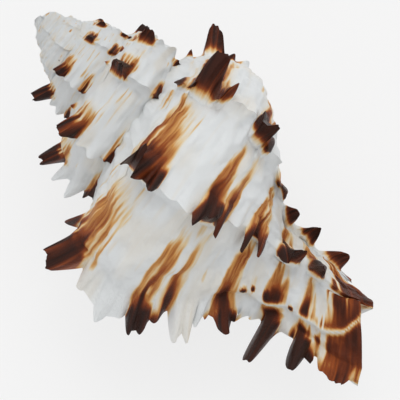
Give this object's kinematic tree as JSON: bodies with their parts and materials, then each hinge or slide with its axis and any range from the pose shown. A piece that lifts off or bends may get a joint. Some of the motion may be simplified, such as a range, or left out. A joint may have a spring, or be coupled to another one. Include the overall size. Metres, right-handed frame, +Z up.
{
  "type": "murex shell",
  "caption": "Spiral sea shell with rows of folded fronds along its varices, an oval aperture and a long siphonal canal, lying on its fronds.",
  "frame": {"origin": "centre of the bottom of the bounding box, on the surface that the fronds rest on", "axes": "+X from the apex to the siphonal canal, -Y towards the outer lip, +Z up, out of the shell's back"},
  "size_m": [0.1019, 0.0619, 0.0511],
  "materials": {
    "shell": "semi-gloss porcelain white with glossy dark brown bands and fronds"
  },
  "bodies": {
    "root": {"murex_shell": "shell"}
  },
  "joints": []
}
